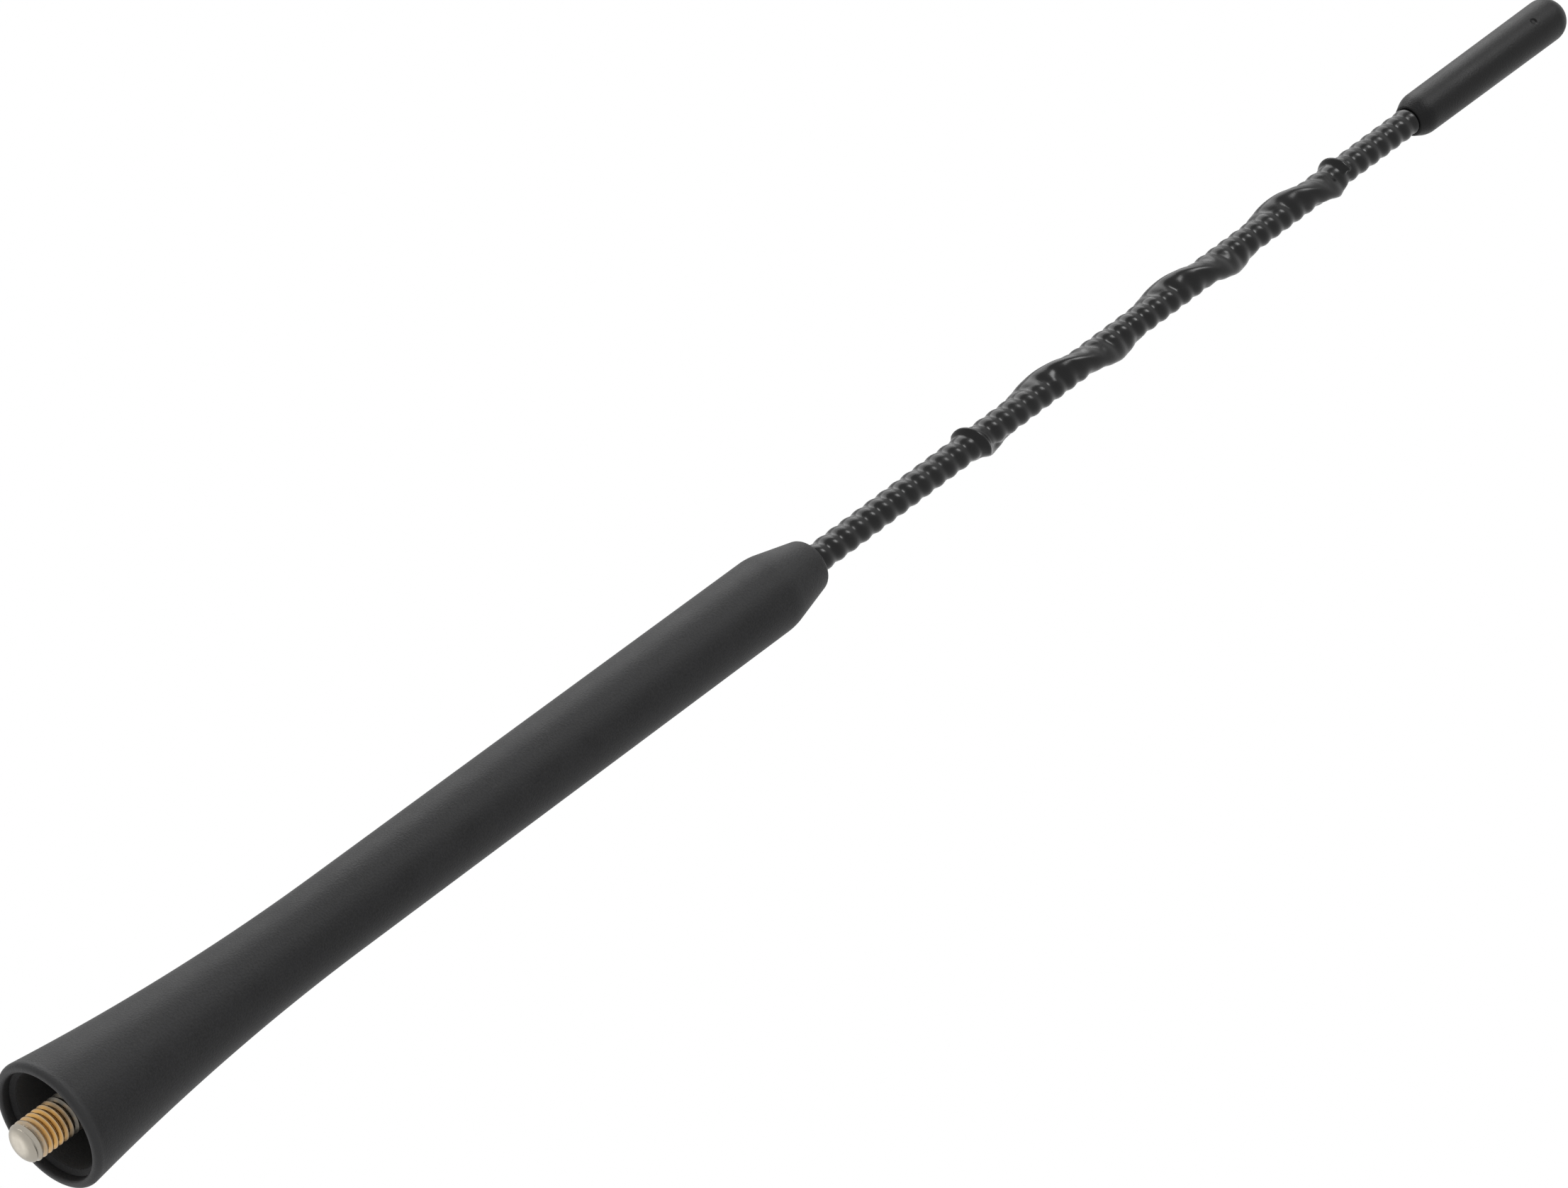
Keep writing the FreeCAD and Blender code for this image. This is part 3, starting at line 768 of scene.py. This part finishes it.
class MAST_OT_stage(bpy.types.Operator):
    """Set up the camera, the pale floor, the white world and three soft lamps"""

    bl_idname = "mast.stage"
    bl_label = "Stage"

    def execute(self, context):
        settings = context.scene.mast_stage
        scene = context.scene
        scene.view_settings.view_transform = "Standard"
        self.camera(scene, settings)
        self.floor(scene, settings)
        self.world(scene, settings)
        self.lamp(scene, "key_lamp", settings.key_place, settings.key_size, settings.key_power)
        self.lamp(scene, "side_lamp", settings.side_place, settings.side_size, settings.side_power)
        self.lamp(scene, "under_lamp", settings.under_place, settings.under_size, settings.under_power)
        return {"FINISHED"}

    def camera(self, scene, settings):
        data = bpy.data.cameras.new("camera")
        data.lens = settings.lens
        data.sensor_fit = "HORIZONTAL"
        data.sensor_width = 36.0
        data.clip_start = 0.01
        back = Vector(settings.towards).normalized()
        right = Vector(settings.across)
        right = (right - back * right.dot(back)).normalized()
        up = back.cross(right)
        turn = Matrix((right, up, back)).transposed().to_4x4()
        camera = bpy.data.objects.new("camera", data)
        camera.matrix_world = Matrix.Translation(Vector(settings.eye)) @ turn
        scene.collection.objects.link(camera)
        scene.camera = camera

    def floor(self, scene, settings):
        bm = bmesh.new()
        bmesh.ops.create_grid(bm, x_segments=1, y_segments=1, size=3.0)
        bmesh.ops.translate(bm, verts=bm.verts, vec=(0.0, 0.0, STUD_END - 0.0001))
        mesh = bpy.data.meshes.new("floor")
        bm.to_mesh(mesh)
        bm.free()
        material, tree, shader = blank_material("floor_paint")
        tree.nodes.remove(shader)
        path = tree.nodes.new("ShaderNodeLightPath")
        side = tree.nodes.new("ShaderNodeNewGeometry")
        above = maths(tree, "SUBTRACT", 1.0, side.outputs["Backfacing"])
        seen = maths(tree, "MULTIPLY", path.outputs["Is Camera Ray"], above)
        reach = tree.nodes.new("ShaderNodeVectorMath")
        reach.operation = "LENGTH"
        tree.links.new(tree.nodes.new("ShaderNodeTexCoord").outputs["Object"], reach.inputs[0])
        near = remapped(tree, reach.outputs["Value"], settings.floor_plain, settings.floor_gone, 1.0, 0.0)
        seen = maths(tree, "MULTIPLY", seen, near)
        paint = wired(tree, "ShaderNodeBsdfDiffuse", Color=(*settings.floor, 1.0))
        clear = tree.nodes.new("ShaderNodeBsdfTransparent")
        blend = tree.nodes.new("ShaderNodeMixShader")
        tree.links.new(seen, blend.inputs[0])
        tree.links.new(clear.outputs[0], blend.inputs[1])
        tree.links.new(paint.outputs[0], blend.inputs[2])
        tree.links.new(blend.outputs[0], tree.nodes["Material Output"].inputs["Surface"])
        mesh.materials.append(material)
        floor = bpy.data.objects.new("floor", mesh)
        scene.collection.objects.link(floor)

    def world(self, scene, settings):
        world = bpy.data.worlds.new("white_studio")
        world.use_nodes = True
        scene.world = world
        tree = world.node_tree
        path = tree.nodes.new("ShaderNodeLightPath")
        seen = maths(tree, "MAXIMUM", path.outputs["Is Camera Ray"], path.outputs["Is Glossy Ray"])
        seen = maths(tree, "MAXIMUM", seen, path.outputs["Is Transmission Ray"])
        strength = maths(tree, "MULTIPLY_ADD", seen, 1.0 - settings.ambient, settings.ambient)
        light = tree.nodes["Background"]
        light.inputs["Color"].default_value = (1.0, 1.0, 1.0, 1.0)
        tree.links.new(strength, light.inputs["Strength"])

    def lamp(self, scene, name, place, size, power):
        data = bpy.data.lights.new(name, "AREA")
        data.shape = "SQUARE"
        data.size = size
        data.energy = power
        lamp = bpy.data.objects.new(name, data)
        lamp.location = place
        middle = Vector((0.0, 0.0, 0.5 * (STUD_END + CAP_TIP)))
        lamp.rotation_euler = (middle - lamp.location).to_track_quat("-Z", "Y").to_euler()
        scene.collection.objects.link(lamp)


class MAST_PT_panel(bpy.types.Panel):
    """Sidebar panel with the mast's pieces and their settings"""

    bl_label = "Car Antenna Mast"
    bl_space_type = "VIEW_3D"
    bl_region_type = "UI"
    bl_category = "Mast"

    def draw(self, context):
        for operator, group in STEPS:
            box = self.layout.box()
            box.operator(operator)
            settings = getattr(context.scene, group)
            for name in settings.__annotations__:
                box.prop(settings, name)


STEPS = [
    ("mast.boot", "mast_boot"),
    ("mast.stud", "mast_stud"),
    ("mast.whip", "mast_whip"),
    ("mast.cap", "mast_cap"),
    ("mast.core", "mast_core"),
    ("mast.stage", "mast_stage"),
]

GROUPS = {
    "mast_boot": BootSettings,
    "mast_stud": StudSettings,
    "mast_whip": WhipSettings,
    "mast_cap": CapSettings,
    "mast_core": CoreSettings,
    "mast_stage": StageSettings,
}

OPERATORS = [MAST_OT_boot, MAST_OT_stud, MAST_OT_whip, MAST_OT_cap, MAST_OT_core, MAST_OT_stage]


def register():
    for group in GROUPS.values():
        bpy.utils.register_class(group)
    for name, group in GROUPS.items():
        setattr(bpy.types.Scene, name, PointerProperty(type=group))
    for operator in OPERATORS:
        bpy.utils.register_class(operator)
    bpy.utils.register_class(MAST_PT_panel)


def unregister():
    bpy.utils.unregister_class(MAST_PT_panel)
    for operator in reversed(OPERATORS):
        bpy.utils.unregister_class(operator)
    for name in GROUPS:
        delattr(bpy.types.Scene, name)
    for group in reversed(GROUPS.values()):
        bpy.utils.unregister_class(group)


def main():
    register()
    bpy.ops.mast.boot()
    bpy.ops.mast.stud()
    bpy.ops.mast.whip()
    bpy.ops.mast.cap()
    bpy.ops.mast.core()
    bpy.ops.mast.stage()


if __name__ == "__main__":
    main()
